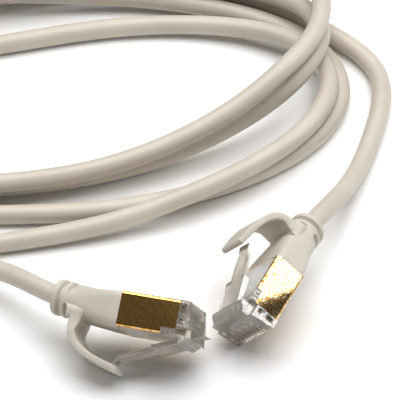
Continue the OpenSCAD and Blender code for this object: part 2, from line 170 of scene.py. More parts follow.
def pile_plan(phi):
    """Seen from above, a turn is an ellipse. Its far end reaches out and fans open by a raised
    cosine, and there its sizes ease into the next turn's by a fifth-degree step."""
    behind = np.floor((phi - HANDOVER + 180) / 360)
    away = phi - HANDOVER - 360 * behind
    u = np.clip((away + HANDOVER_HALF) / (2 * HANDOVER_HALF), 0, 1)
    done = behind + u ** 3 * (u * (6 * u - 15) + 10)
    turn = np.minimum(np.floor(done).astype(int), len(TURNS) - 2)
    size = TURNS[turn] + (done - turn)[:, None] * (TURNS[turn + 1] - TURNS[turn])
    near = np.minimum(np.abs(away) / HANDOVER_HALF, 1)
    far = (1 + np.cos(pi * near)) / 2
    x = size[:, 2] * np.cos(np.radians(phi)) - FAR_REACH * far
    y = (size[:, 3] + FAR_FAN * far) * np.sin(np.radians(phi))
    c, s = np.cos(np.radians(size[:, 4])), np.sin(np.radians(size[:, 4]))
    return PILE_AT + size[:, :2] + np.stack([x * c - y * s, x * s + y * c], axis=1)


def plan_gaps(plan):
    """Distance between the middles of all chords of a line seen from above, less the overlap that
    their own lengths allow: the least of the four end-to-chord distances, 0 where two cross."""
    a, b = plan[:-1], plan[1:]

    def to_chord(p):
        v = b - a
        t = ((p[:, None] - a) * v).sum(-1) / (v * v).sum(-1)
        foot = a + np.clip(t, 0, 1)[..., None] * v
        return np.linalg.norm(p[:, None] - foot, axis=-1)

    ends = np.minimum(to_chord(a), to_chord(b))
    gap = np.minimum(ends, ends.T)

    def side(p):
        v = b - a
        w = p[:, None] - a
        return v[:, 0] * w[..., 1] - v[:, 1] * w[..., 0]

    apart = side(a) * side(b)
    gap[(apart < 0) & (apart.T < 0)] = 0
    return gap


def laid(plan, passes=6, rounds=24, skip=11):
    """Heights of a cable laid down in order: each chord lies on the floor or on the earlier chords
    that it passes over, a slope of CLIMB leads up to each of them, and the whole line is eased.
    The last skip chords are too near along the line to be passed over."""
    run = run_of(plan)
    gap = plan_gaps(plan)
    order = np.arange(len(gap))
    under = (gap < REST_D) & (order[:, None] - order >= skip)
    rise = np.where(under, np.sqrt(np.maximum(REST_D ** 2 - gap ** 2, 0)), -1)
    slope = CLIMB * np.abs(run[:, None] - run)
    z = np.full(len(plan), CABLE_R)
    for _ in range(passes):
        chord_top = np.maximum(z[:-1], z[1:])
        chord = np.maximum(CABLE_R, np.where(under, rise + chord_top, 0).max(axis=1))
        ring = np.maximum(np.r_[chord[:1], chord], np.r_[chord, chord[-1:]])
        z = (ring - slope).max(axis=1)
        for _ in range(rounds):
            middle = (z[:-2] + 2 * z[1:-1] + z[2:]) / 4
            z = np.maximum(ring, np.r_[z[0], middle, z[-1]])
    return z


def cable_line():
    """The cable's centreline from plug B through the pile to plug A."""
    out = {s: [placed(on_collar(-BOOT_L - k * CABLE_D), s) for k in (0, 0.5, 1)] for s in PLUGS}
    plan = spaced(pile_plan(np.arange(WOUND_FROM, WOUND_TO + 1, WOUND_STEP)), LINE_STEP)
    plan = eased(plan, LINE_STEP, PLAN_EASE)[::LAID_EVERY]
    wound = np.c_[plan, laid(plan)]
    lead_b = through(np.vstack([out["b"][2], ROUTE_B, wound[:1]]), LEAD_STEPS)[:-1]
    lead_a = through(np.vstack([wound[-1:], ROUTE_A, out["a"][2]]), LEAD_STEPS)[1:]
    line = np.vstack([out["b"][:2], lead_b, wound, lead_a, out["a"][1::-1]])
    line = spaced(line, LINE_STEP)
    height = relaxed(line[:, 2:], LINE_STEP, HEIGHT_EASE)
    return np.c_[eased(line[:, :2], LINE_STEP, PLAN_EASE), np.maximum(height, CABLE_R)]


# ---- Mesh makers ----

SHARP = 35                  # degrees between two faces from which their edge is sharp


def piece(name, points, faces, material, body, uv=None, sharp=SHARP):
    """A mesh piece with its place in its points. uv holds one pair for each point."""
    mesh = bpy.data.meshes.new(name)
    mesh.from_pydata(np.asarray(points).tolist(), [], [list(map(int, f)) for f in faces])
    if uv is not None:
        corner = np.zeros(len(mesh.loops), np.int32)
        mesh.loops.foreach_get("vertex_index", corner)
        layer = mesh.uv_layers.new(name="along")
        layer.data.foreach_set("uv", np.asarray(uv, np.float32)[corner].ravel())
    mesh.validate()
    mesh.shade_smooth()
    mesh.set_sharp_from_angle(angle=radians(sharp))
    mesh.materials.append(material)
    obj = bpy.data.objects.new(name, mesh)
    bpy.context.scene.collection.objects.link(obj)
    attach(obj, body)
    return obj


def grid_faces(rows, columns, close_rows=False):
    """Quads of a grid whose columns close round; close_rows joins the last row to the first."""
    r = np.arange(rows if close_rows else rows - 1)[:, None]
    c = np.arange(columns)[None, :]
    here, right = r * columns + c, r * columns + (c + 1) % columns
    up = ((r + 1) % rows) * columns
    return np.stack([here, right, up + (c + 1) % columns, up + c], axis=-1).reshape(-1, 4)


def tube_points(line, radius, sides):
    """A circle of that radius round each point of a line, square to it: side and up cos and sin."""
    ahead = unit(np.vstack([line[1:2] - line[:1], line[2:] - line[:-2], line[-1:] - line[-2:-1]]))
    across = unit(np.cross([0, 0, 1], ahead))
    up = np.cross(ahead, across)
    angle = 2 * pi * np.arange(sides) / sides
    ring = across[:, None] * np.cos(angle)[:, None] + up[:, None] * np.sin(angle)[:, None]
    return line[:, None] + ring * radius[..., None]


def capped(rows, columns):
    """The faces of a tube's walls and of its two ends."""
    last = (rows - 1) * columns
    ends = [list(range(columns))[::-1], list(range(last, last + columns))]
    return grid_faces(rows, columns).tolist() + ends


# ---- Materials ----

JACKET_DARK, JACKET_LIGHT = "#C2B9AC", "#CAC1B4"
BOOT_DARK, BOOT_LIGHT = "#C3BCAF", "#CCC5B9"
CLEAR_TINT, CLEARNESS = "#ECE7DE", 0.8
WHITE, ORANGE, GREEN, BLUE, BROWN = "#DCD8CE", "#C8641C", "#3C7A46", "#2F5C9C", "#6B4226"

# The gold of the two shields. Real shields are alike, but each of these mirrors another part of the
# room, so each has a bow and dimples of its own. Each also has tones of its own, and these are
# painted
# reflection: B's are paler, a painted highlight, and A's are darker and warmer, a painted dark
# reflection.
BOW = {"a": 8.0, "b": 60.0}         # height of the shield's bow, in metres for each square metre
BOW_FROM = -2.6 * MM
BOW_SHARES = {"X": 0.45, "Z": -0.7}
DIMPLE = {"a": 0.03 * MM, "b": 0.055 * MM}
# stops per side: thin plate, usual plate and bright plate, each lightened or darkened as painted
# reflection; B's pale stops are a painted highlight, A's dark ones a painted dark reflection
GOLD_TONES_AND_PAINTED_REFLECTION = {                      # thin plate, usual plate and bright plate
    "a": [(0.34, "#C28C42"), (0.45, "#E4AE5A"), (0.7, "#FAD996")],
    "b": [(0.36, "#9A6C30"), (0.46, "#D2A45E"), (0.6, "#F0DCB0")],
}


def linear(hex_colour):
    """sRGB hex to linear red, green, blue and an alpha of 1."""
    c = np.array([int(hex_colour[i:i + 2], 16) for i in (1, 3, 5)]) / 255
    return (*np.where(c <= 0.04045, c / 12.92, ((c + 0.055) / 1.055) ** 2.4), 1)


def add(tree, kind, sockets=None, stops=None, **settings):
    """Adds a node and makes its settings and a ramp's (position, hex colour) stops. Each socket is
    set, or is linked where the value is another node's output."""
    node = tree.nodes.new("ShaderNode" + kind)
    for key, value in settings.items():
        setattr(node, key, value)
    for key, value in (sockets or {}).items():
        if isinstance(value, bpy.types.NodeSocket):
            tree.links.new(value, node.inputs[key])
        else:
            node.inputs[key].default_value = value
    if stops:
        points = node.color_ramp.elements
        while len(points) < len(stops):
            points.new(0.5)
        for point, (position, colour) in zip(points, stops):
            point.position = position
            point.color = linear(colour)
    return node


def empty_material(name):
    """A material without nodes, its tree, and the coordinates that its patterns start from."""
    material = bpy.data.materials.new(name)
    material.use_nodes = True
    material.node_tree.nodes.clear()
    return material, material.node_tree, add(material.node_tree, "TexCoord").outputs


def show(tree, **sockets):
    """Ends a tree in a Principled shader with these sockets; an underscore stands for a space."""
    shader = add(tree, "BsdfPrincipled", {k.replace("_", " "): v for k, v in sockets.items()})
    add(tree, "OutputMaterial", {"Surface": shader.outputs[0]})


def extruded_pvc():
    """Extruded PVC jacket: smooth and satin. Faint streaks from the die run along it, 0.1 mm wide,
    and its tone drifts a little over a finger's width."""
    material, tree, spot = empty_material("extruded_PVC_satin")
    along = add(tree, "Mapping", {"Vector": spot["UV"], "Scale": (60, 110, 1)})
    streaks = add(tree, "TexNoise", {"Vector": along.outputs[0], "Scale": 1.0, "Detail": 3.0})
    drift = add(tree, "TexNoise", {"Vector": spot["Object"], "Scale": 1 / (9 * MM)})
    tones = [(0.3, JACKET_DARK), (0.7, JACKET_LIGHT)]
    colour = add(tree, "ValToRGB", {"Fac": drift.outputs["Fac"]}, tones)
    sheen = add(tree, "MapRange", {"Value": drift.outputs["Fac"], "To Min": 0.36, "To Max": 0.46})
    bump = add(tree, "Bump", {
        "Height": streaks.outputs["Fac"], "Distance": 0.02 * MM, "Strength": 0.5,
    })
    show(tree, Base_Color=colour.outputs["Color"], Roughness=sheen.outputs["Result"],
         Normal=bump.outputs["Normal"], IOR=1.53)
    return material


def moulded_tpe():
    """Moulded TPE boot: matt, from a spark-eroded mould. The grain is 0.15 mm on the real one and
    0.25 mm here, so that it shows."""
    material, tree, spot = empty_material("moulded_TPE_matt")
    drift = add(tree, "TexNoise", {"Vector": spot["Object"], "Scale": 1 / (6 * MM)})
    grain = add(tree, "TexNoise", {
        "Vector": spot["Object"], "Scale": 1 / (0.25 * MM), "Detail": 3.0,
    })
    tones = [(0.3, BOOT_DARK), (0.7, BOOT_LIGHT)]
    colour = add(tree, "ValToRGB", {"Fac": drift.outputs["Fac"]}, tones)
    sheen = add(tree, "MapRange", {"Value": grain.outputs["Fac"], "To Min": 0.42, "To Max": 0.6})
    bump = add(tree, "Bump", {
        "Height": grain.outputs["Fac"], "Distance": 0.012 * MM, "Strength": 0.7,
    })
    show(tree, Base_Color=colour.outputs["Color"], Roughness=sheen.outputs["Result"],
         Normal=bump.outputs["Normal"], IOR=1.5)
    return material


def gold_flash(side):
    """Thin gold plate on stamped brass sheet: a mirror broken up by the dimples of the rolled
    surface, with darker specks where the plate is thin. Both are 0.4 mm across here, coarser than
    on real sheet, so that they show. Each side's tones are also painted reflection: plug B's are
    paler, a painted highlight, and plug A's are darker and warmer, a painted dark reflection.
    Towards the nose and the contact side the sheet bows by
    BOW max(0, 0.45 x - 0.7 z + BOW_FROM)^2, so its reflection breaks off there."""
    at, angles = PLUGS[side]
    material, tree, spot = empty_material(f"gold_plated_brass_painted_reflection_{side}")
    own = add(tree, "Mapping", {
        "Vector": spot["Object"], "Location": Vector(at) * MM,
        "Rotation": [radians(a) for a in angles],
    }, vector_type="TEXTURE").outputs[0]
    dimples = add(tree, "TexNoise", {"Vector": own, "Scale": 1 / (0.4 * MM), "Detail": 5.0})
    specks = add(tree, "TexNoise", {"Vector": own, "Scale": 1 / (0.45 * MM), "Detail": 5.0})
    # the ramp's random tones are the plate's own, but each side's stops are painted reflection:
    # paler on B as a painted highlight, darker on A as a painted dark reflection
    colour = add(tree, "ValToRGB", {"Fac": specks.outputs["Fac"]}, GOLD_TONES_AND_PAINTED_REFLECTION[side])
    rough = add(tree, "MapRange", {"Value": specks.outputs["Fac"], "To Min": 0.28, "To Max": 0.1})
    axes = add(tree, "SeparateXYZ", {"Vector": own}).outputs
    past = BOW_FROM
    for axis, share in BOW_SHARES.items():
        sum_so_far = {0: axes[axis], 1: share, 2: past}
        past = add(tree, "Math", sum_so_far, operation="MULTIPLY_ADD").outputs[0]
    past = add(tree, "Math", {0: past, 1: 0.0}, operation="MAXIMUM").outputs[0]
    bow = add(tree, "Math", {0: past, 1: past}, operation="MULTIPLY").outputs[0]
    bowed = add(tree, "Bump", {"Height": bow, "Distance": -BOW[side], "Strength": 1.0})
    bump = add(tree, "Bump", {
        "Height": dimples.outputs["Fac"], "Distance": DIMPLE[side], "Strength": 0.7,
        "Normal": bowed.outputs["Normal"],
    })
    show(tree, Base_Color=colour.outputs["Color"], Roughness=rough.outputs["Result"],
         Normal=bump.outputs["Normal"], Metallic=1.0)
    return material


def polycarbonate():
    """Injection-moulded clear polycarbonate: glossy and slightly hazy, so that thick places go
    milky, with flow lines 2.5 mm apart and fine scuffs from handling."""
    material, tree, spot = empty_material("moulded_polycarbonate_clear")
    flow = add(tree, "TexNoise", {"Vector": spot["Object"], "Scale": 1 / (2.5 * MM)})
    scuffs = add(tree, "TexNoise", {
        "Vector": spot["Object"], "Scale": 1 / (0.4 * MM), "Detail": 4.0,
    })
    rough = add(tree, "MapRange", {"Value": scuffs.outputs["Fac"], "To Min": 0.06, "To Max": 0.2})
    bump = add(tree, "Bump", {
        "Height": flow.outputs["Fac"], "Distance": 0.03 * MM, "Strength": 0.4,
    })
    show(tree, Base_Color=linear(CLEAR_TINT), Roughness=rough.outputs["Result"], IOR=1.585,
         Normal=bump.outputs["Normal"], Transmission_Weight=CLEARNESS, Specular_IOR_Level=0.35)
    return material


def frosted_polycarbonate():
    """Wire comb of the same plastic with a dull mould finish, grain 0.3 mm."""
    material, tree, spot = empty_material("moulded_polycarbonate_frosted")
    grain = add(tree, "TexNoise", {"Vector": spot["Object"], "Scale": 1 / (0.3 * MM)})
    rough = add(tree, "MapRange", {"Value": grain.outputs["Fac"], "To Min": 0.3, "To Max": 0.45})
    bump = add(tree, "Bump", {
        "Height": grain.outputs["Fac"], "Distance": 0.01 * MM, "Strength": 0.4,
    })
    show(tree, Base_Color=linear("#E4E4DE"), Roughness=rough.outputs["Result"], IOR=1.585,
         Normal=bump.outputs["Normal"], Transmission_Weight=0.5)
    return material


def contact_gold():
    """Hard gold on phosphor bronze blades: bright, with shear lines 0.1 mm apart from stamping."""
    material, tree, spot = empty_material("gold_plated_phosphor_bronze")
    lines = add(tree, "TexNoise", {
        "Vector": spot["Object"], "Scale": 1 / (0.1 * MM), "Detail": 2.0,
    })
    tones = [(0.3, "#A87830"), (0.7, "#CDA052")]
    colour = add(tree, "ValToRGB", {"Fac": lines.outputs["Fac"]}, tones)
    rough = add(tree, "MapRange", {"Value": lines.outputs["Fac"], "To Min": 0.15, "To Max": 0.32})
    show(tree, Base_Color=colour.outputs["Color"], Roughness=rough.outputs["Result"], Metallic=1.0)
    return material


def nickel_ferrule():
    """Drawn and nickel-plated crimp sleeve: soft sheen, mottled by the crimping tool at 0.8 mm."""
    material, tree, spot = empty_material("nickel_plated_crimp_sleeve")
    mottle = add(tree, "TexNoise", {"Vector": spot["Object"], "Scale": 1 / (0.8 * MM)})
    tones = [(0.3, "#A6A198"), (0.7, "#C2BEB5")]
    colour = add(tree, "ValToRGB", {"Fac": mottle.outputs["Fac"]}, tones)
    rough = add(tree, "MapRange", {"Value": mottle.outputs["Fac"], "To Min": 0.22, "To Max": 0.4})
    show(tree, Base_Color=colour.outputs["Color"], Roughness=rough.outputs["Result"], Metallic=1.0)
    return material


def insulation(name, base, stripe):
    """Extruded polyethylene insulation: waxy, with a co-extruded stripe over a quarter of the way
    round. On a plain wire the stripe has the base colour."""
    material, tree, spot = empty_material(f"polyethylene_{name}")
    around = add(tree, "SeparateXYZ", {"Vector": spot["UV"]}).outputs["Y"]
    tones = [(0, stripe), (0.24, stripe), (0.26, base), (1, base)]
    colour = add(tree, "ValToRGB", {"Fac": around}, tones)
    wax = add(tree, "TexNoise", {"Vector": spot["Object"], "Scale": 1 / (0.5 * MM)})
    rough = add(tree, "MapRange", {"Value": wax.outputs["Fac"], "To Min": 0.3, "To Max": 0.42})
    show(tree, Base_Color=colour.outputs["Color"], Roughness=rough.outputs["Result"], IOR=1.51)
    return material


JACKET = extruded_pvc()
BOOT = moulded_tpe()
GOLD = {side: gold_flash(side) for side in PLUGS}
CLEAR = polycarbonate()
FROSTED = frosted_polycarbonate()
BLADE = contact_gold()
NICKEL = nickel_ferrule()
WIRES = [       # in the order of the contacts
    insulation("white_orange", WHITE, ORANGE), insulation("orange", ORANGE, ORANGE),
    insulation("white_green", WHITE, GREEN), insulation("blue", BLUE, BLUE),
    insulation("white_blue", WHITE, BLUE), insulation("green", GREEN, GREEN),
    insulation("white_brown", WHITE, BROWN), insulation("brown", BROWN, BROWN),
]


# ---- Camera, light and floor ----

VIEW_WIDTH = 72.73 * MM         # what the frame's width covers at the aim
VIEW_FROM = 1.6                 # a long lens, well back
VIEW_TILT = 45                  # degrees below the horizon
SENSOR = 36                     # mm
AIM = Vector((2.22, 26.03, 5.0)) * MM

camera = bpy.data.objects.new("camera", bpy.data.cameras.new("camera"))
bpy.context.scene.collection.objects.link(camera)
camera.rotation_euler = (radians(90 - VIEW_TILT), 0, 0)
camera.location = AIM - VIEW_FROM * (camera.rotation_euler.to_matrix() @ Vector((0, 0, -1)))
camera.data.sensor_width = SENSOR
camera.data.lens = SENSOR * VIEW_FROM / VIEW_WIDTH
bpy.context.scene.camera = camera


def softbox(name, towards, away, width, height, power):
    """A rectangular light at that distance and direction from the plugs, turned to face them."""
    light = bpy.data.lights.new(name, "AREA")
    light.shape = "RECTANGLE"
    light.size, light.size_y = width, height
    light.energy = power
    obj = bpy.data.objects.new(name, light)
    bpy.context.scene.collection.objects.link(obj)
    facing = Vector(towards).normalized()
    obj.location = facing * away
    obj.rotation_mode = "QUATERNION"
    obj.rotation_quaternion = facing.to_track_quat("Z", "Y")
    obj.visible_camera = False


softbox("overhead", (0.08, 0.25, 0.96), away=1.0, width=1.2, height=1.0, power=15.3)
# stands where plug B's shield mirrors it towards the camera
softbox("right_panel", (0.835, 0.144, 0.531), away=0.9, width=0.18, height=0.18, power=1.2)
softbox("front_fill", (0.25, -0.85, 0.5), away=1.1, width=0.6, height=0.4, power=1)
softbox("left_fill", (-0.9, 0.25, 0.35), away=1.0, width=0.5, height=0.5, power=1.3)

world = bpy.data.worlds.new("studio")
world.use_nodes = True
world.node_tree.nodes["Background"].inputs["Color"].default_value = (1, 0.98, 0.96, 1)
world.node_tree.nodes["Background"].inputs["Strength"].default_value = 0.07
bpy.context.scene.world = world
bpy.context.scene.view_settings.view_transform = "Standard"


def studio_floor():
    """White paper, flat for a few metres, with a cloudiness of 40 mm. It lies a hair below the
    cable, so that they share no surface."""
    mesh = bpy.data.meshes.new("floor")
    half = 3.0
    drop = -0.02 * MM
    corners = [(-half, -half, drop), (half, -half, drop), (half, half, drop), (-half, half, drop)]
    mesh.from_pydata(corners, [], [(0, 1, 2, 3)])
    material, tree, spot = empty_material("white_paper")
    cloud = add(tree, "TexNoise", {"Vector": spot["Object"], "Scale": 1 / (40 * MM)})
    colour = add(tree, "ValToRGB", {"Fac": cloud.outputs["Fac"]}, [(0, "#F6F6F5"), (1, "#F8F8F8")])
    show(tree, Base_Color=colour.outputs["Color"], Roughness=0.9)
    mesh.materials.append(material)
    obj = bpy.data.objects.new("floor", mesh)
    bpy.context.scene.collection.objects.link(obj)


studio_floor()


# ---- Cable ----

PAIRS, PAIR_LAY, PAIR_DIP = 4, 42 * MM, 0.006


def cable_jacket():
    """One tube along the whole cable. Its radius dips by up to 1.2 % in four slow helices, where
    the twisted pairs show through the jacket: R (1 - 0.006 (1 - cos(4 a - 2 pi s / 42 mm)))."""
    line = cable_line()
    run = run_of(line)
    angle = 2 * pi * np.arange(JACKET_SIDES) / JACKET_SIDES
    relief = PAIR_DIP * (1 - np.cos(PAIRS * angle[None] - 2 * pi * run[:, None] / PAIR_LAY))
    points = tube_points(line, CABLE_R * (1 - relief), JACKET_SIDES)
    uv = np.stack(np.broadcast_arrays(run[:, None], angle[None] / (2 * pi)), axis=-1)
    tube = piece("cable_jacket", points.reshape(-1, 3), capped(len(line), JACKET_SIDES), JACKET,
                 "cable", uv=uv.reshape(-1, 2))
    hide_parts("cable_coil", "cable_lead_a", "cable_lead_b")


cable_jacket()


# ---- Plug pieces ----

BODY_R, GROOVE_R = 3.3 * MM, 2.5 * MM
BORE_R = CABLE_R + 0.02 * MM
REAR_GROOVE, GROOVE_SOFT = np.array([-12.3, -11.5]) * MM, 0.22 * MM
SLOT, SLOT_SOFT = np.array([-10.6, -9.5]) * MM, 0.2 * MM
SLOT_END_R = 0.45 * MM
WEB_HALF = 1.1 * MM
SADDLE, SADDLE_SOFT = np.array([-9.8, -6.9]) * MM, 0.6 * MM
SADDLE_HALF_W, SADDLE_POWER = 3.9 * MM, 9
SADDLE_DROP = 0.1 * MM      # its top below the guard's hinge
SADDLE_FADE = 0.4           # sine of the angle below which its sides fade out
SADDLE_FILLET = 0.7 * MM
REAR_EDGE, LIP = 0.35 * MM, 0.12 * MM

# Station, half width, half height (mm), power of the superellipse, height of its centre (mm)
SECTION = [MM, MM, MM, 1, MM]
BOOT_SKIN = np.array([
    [-14, 3.32, 3.32, 2, -0.5], [-9.8, 3.3, 3.3, 2, -0.5], [-9, 3.45, 3.3, 2.15, -0.45],
    [-5.2, 4.95, 3.2, 3.3, -0.1], [-1.6, 5.9, 3.25, 7, 0], [0, 5.95, 3.25, 8, 0],
]) * SECTION
BOOT_CAVITY = np.array([
    [0, 4.7, 2.2, 6, 0], [-3, 4.7, 2.2, 6, 0], [-3, 2.5, 2.5, 2, -0.5], [-5.9, 2.5, 2.5, 2, -0.5],
    [-5.9, BORE_R / MM, BORE_R / MM, 2, -0.5], [-BOOT_L / MM, BORE_R / MM, BORE_R / MM, 2, -0.5],
]) * SECTION
SKIN_EASE = 6               # stations on each side that the skin's curves are averaged over


def window(x, low, high, soft):
    """1 between low and high and 0 outside, with soft edges."""
    return smooth_step((x - low) / soft + 0.5) * smooth_step((high - x) / soft + 0.5)


def polar(angle, half_w, half_h, power):
    """Radius of a superellipse: |cos/w|^n + |sin/h|^n raised to -1/n."""
    reach = np.abs(np.cos(angle) / half_w) ** power + np.abs(np.sin(angle) / half_h) ** power
    return reach ** (-1 / power)


def larger(a, b, soft):
    """The larger of two radii, with a fillet of that size where they meet."""
    near = np.maximum(soft - np.abs(a - b), 0) / soft
    return np.maximum(a, b) + near ** 2 * soft / 4


def boot_rows(x, angle):
    """Outer radius of the boot at each station and angle, and the height of its centre there.
    BOOT_SKIN's superellipses, eased along the boot, swell from a circle at the collar into a wide
    rounded oblong at the front. The saddle is a squarer superellipse joined with a fillet, and the
    groove and the slots are rounded dips."""
    mean = np.ones(2 * SKIN_EASE + 1) / (2 * SKIN_EASE + 1)
    half_w, half_h, power, centre = (
        np.convolve(np.pad(np.interp(x, BOOT_SKIN[:, 0], curve), SKIN_EASE, "edge"), mean, "valid")
        for curve in BOOT_SKIN.T[1:])
    radius = polar(angle[None], half_w[:, None], half_h[:, None], power[:, None])
    # the saddle under the guard's root, never quite flat, so that its radius stays above 0
    saddle_top = (GUARD_HINGE[2] - SADDLE_DROP - centre) * window(x, *SADDLE, SADDLE_SOFT)
    saddle_top = np.maximum(saddle_top, 0.05 * MM)[:, None]
    saddle = polar(angle[None], SADDLE_HALF_W, saddle_top, SADDLE_POWER)
    saddle *= smooth_step(np.sin(angle) / SADDLE_FADE)
    radius = np.where(np.sin(angle) > 0, larger(radius, saddle, SADDLE_FILLET), radius)
    # a groove all round, and a slot above and below the webs
    groove = window(x, *REAR_GROOVE, GROOVE_SOFT)[:, None]
    from_web = BODY_R * np.abs(np.arcsin(np.clip(np.sin(angle), -1, 1))) - WEB_HALF
    straight = (SLOT[1] - SLOT[0]) / 2 - SLOT_END_R
    along = np.maximum(np.abs(x - SLOT.mean())[:, None] - straight, 0)
    inside = np.hypot(along, np.maximum(SLOT_END_R - from_web, 0)[None]) - SLOT_END_R
    slot = smooth_step(0.5 - inside / SLOT_SOFT)
    dip = np.maximum(groove, slot * (from_web > -SLOT_END_R)[None])
    radius = radius - (BODY_R - GROOVE_R) * dip
    # the rear edge is rounded
    out = np.clip(REAR_EDGE - (x + BOOT_L), 0, REAR_EDGE)
    return radius - (REAR_EDGE - np.sqrt(REAR_EDGE ** 2 - out ** 2))[:, None], centre


def bent_collar(points):
    """Turns what lies behind the body about the collar's pivot, by the collar's lean and swing."""
    weight = smooth_step((COLLAR_BEND_AT - points[..., :1]) / COLLAR_BEND_L + 0.5)
    leaning = COLLAR_PIVOT + turned(points - COLLAR_PIVOT, (0, -COLLAR_LEAN, COLLAR_SWING))
    return points + weight * (leaning - points)


def boot_shell(side):
    """Soft boot: the outer skin of boot_rows from its rear ring to its lip, then back inside as
    a cavity that holds the shield's root and a bore that grips the cable."""
    sides = 192
    angle = 2 * pi * np.arange(sides) / sides
    # stations: close together over the rear edge, every 0.1 mm along the boot, and the lip
    rear = -BOOT_L + REAR_EDGE * (1 - np.cos(np.linspace(0, pi / 2, 6)))
    x = np.r_[rear, np.arange(-BOOT_L + 0.45 * MM, -0.2 * MM, 0.1 * MM), -LIP, 0]
    radius, centre = boot_rows(x, angle)
    radius[-1] -= LIP
    inner_x, inner_w, inner_h, power, inner_z = BOOT_CAVITY.T
    inner = polar(angle[None], inner_w[:, None], inner_h[:, None], power[:, None])
    x, radius, centre = np.r_[x, inner_x], np.vstack([radius, inner]), np.r_[centre, inner_z]
    points = np.stack([
        np.broadcast_to(x[:, None], radius.shape),
        radius * np.cos(angle),
        centre[:, None] + radius * np.sin(angle)], axis=-1)
    points = placed(bent_collar(points).reshape(-1, 3), side)
    faces = grid_faces(len(x), len(angle), close_rows=True)
    boot = piece(f"soft_boot_{side}", points, faces, BOOT, "cable", sharp=50)
    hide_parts(f"boot_{side}")


# The Bezier curve's points from the hinge, as X and Z, and the half width at each station
GUARD_RISE = np.array([[0, 0], [-0.15, 4.85], [3.45, 5.85], [10.05, 6.95]]) * MM
GUARD_PLAN = np.array([[-10.5, 4.3], [-4, 4.1], [1.8, 3]]) * MM
GUARD_ROOT_T, GUARD_TIP_T = 1.5 * MM, 1.1 * MM
GUARD_ROOT_HALF_W = SADDLE_HALF_W - 0.03 * MM
GUARD_ROOT_END = 0.2        # share of the strap over which its root's width and flare fade
GUARD_FLARE, GUARD_SUNK = 0.3 * MM, 0.8 * MM
GUARD_CORNER, GUARD_TIP_R = 0.32 * MM, 0.3 * MM
GUARD_BEND = {"a": -4, "b": 2}      # degrees about the hinge


def oblong(half_w, half_h, corner, arc=5):
    """Rows of a rounded oblong's outline: four quarter circles joined by straight sides."""
    turn = np.linspace(0, pi / 2, arc + 1)
    pairs = []
    for quarter, (sy, sz) in enumerate(((1, 1), (-1, 1), (-1, -1), (1, -1))):
        a = turn + quarter * pi / 2
        y = sy * (half_w - corner)[:, None] + corner[:, None] * np.cos(a)
        z = sz * (half_h - corner)[:, None] + corner[:, None] * np.sin(a)
        pairs.append(np.stack([y, z], axis=-1))
    return np.concatenate(pairs, axis=1)


def guard_strap(side):
    """The hooked strap: an oblong section carried along a Bezier curve over the latch, narrower
    and thinner towards its square tip. Where it grows out of the saddle it is as wide as that,
    and its front side flares. Its first ring is sunk in the saddle."""
    t = np.linspace(0, 1, 60)
    b = np.stack([(1 - t) ** 3, 3 * t * (1 - t) ** 2, 3 * t * t * (1 - t), t ** 3], axis=1)
    line = GUARD_HINGE[[0, 2]] + b @ GUARD_RISE
    ahead = unit(np.gradient(line, axis=0))
    out = np.stack([-ahead[:, 1], ahead[:, 0]], axis=1)
    root = 1 - smooth_step(t / GUARD_ROOT_END)
    flare = GUARD_FLARE * root
    half_h = (GUARD_ROOT_T * (1 - t) + GUARD_TIP_T * t) / 2 + flare
    line -= flare[:, None] * out
    half_w = np.interp(line[:, 0], GUARD_PLAN[:, 0], GUARD_PLAN[:, 1])
    half_w += (GUARD_ROOT_HALF_W - half_w) * root
    run = run_of(line)
    past = np.clip(run - (run[-1] - GUARD_TIP_R), 0, GUARD_TIP_R)
    shrink = GUARD_TIP_R - np.sqrt(GUARD_TIP_R ** 2 - past ** 2)
    line = np.vstack([line[:1] - GUARD_SUNK * ahead[:1], line])
    ahead, out = np.vstack([ahead[:1], ahead]), np.vstack([out[:1], out])
    half_h, half_w = np.r_[half_h[:1], half_h - shrink], np.r_[half_w[:1], half_w - shrink]
    section = oblong(half_w, half_h, np.minimum(GUARD_CORNER, half_h * 0.9))
    points = np.stack([
        line[:, None, 0] + out[:, None, 0] * section[..., 1],
        section[..., 0],
        line[:, None, 1] + out[:, None, 1] * section[..., 1]], axis=-1).reshape(-1, 3)
    points = GUARD_HINGE + turned(points - GUARD_HINGE, (0, GUARD_BEND[side], 0))
    faces = capped(len(line), section.shape[1])
    strap = piece(f"guard_strap_{side}", placed(points, side), faces, BOOT, f"guard_{side}")
    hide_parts(f"latch_guard_{side}")


NOSE_EDGE = 0.1 * MM


def clear_copy(name, node, body):
    """A clear copy of a CAD node with its doubles merged, its flat faces joined and its edges
    eased."""
    mesh = bpy.data.meshes.new(name)
    bm = bmesh.new()
    bm.from_mesh(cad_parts[node].data)
    bmesh.ops.remove_doubles(bm, verts=bm.verts, dist=1e-6)
    bmesh.ops.dissolve_limit(bm, angle_limit=radians(0.5), verts=bm.verts, edges=bm.edges)
    bm.to_mesh(mesh)
    bm.free()
    mesh.materials.clear()
    mesh.materials.append(CLEAR)
    mesh.shade_smooth()
    mesh.set_sharp_from_angle(angle=radians(SHARP))
    obj = bpy.data.objects.new(name, mesh)
    bpy.context.scene.collection.objects.link(obj)
    bevel = obj.modifiers.new("eased edges", "BEVEL")
    bevel.width = NOSE_EDGE
    bevel.segments = 2
    bevel.limit_method = "ANGLE"
    bevel.angle_limit = radians(SHARP)
    bevel.harden_normals = True
    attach(obj, body)
    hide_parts(node)


# The first and the last rib along the plug, and their lower and upper end
NOTCH_X = np.array([8.5, 10.9]) * MM
NOTCH_Z = np.array([2.15, 3.15]) * MM
RIBS = 4


def joined(parts):
    """Several meshes of (points, faces) as one."""
    points, faces, count = [], [], 0
    for own_points, own_faces in parts:
        points.append(own_points.reshape(-1, 3))
        faces += [[count + int(k) for k in face] for face in own_faces]
        count += len(points[-1])
    return np.vstack(points), faces


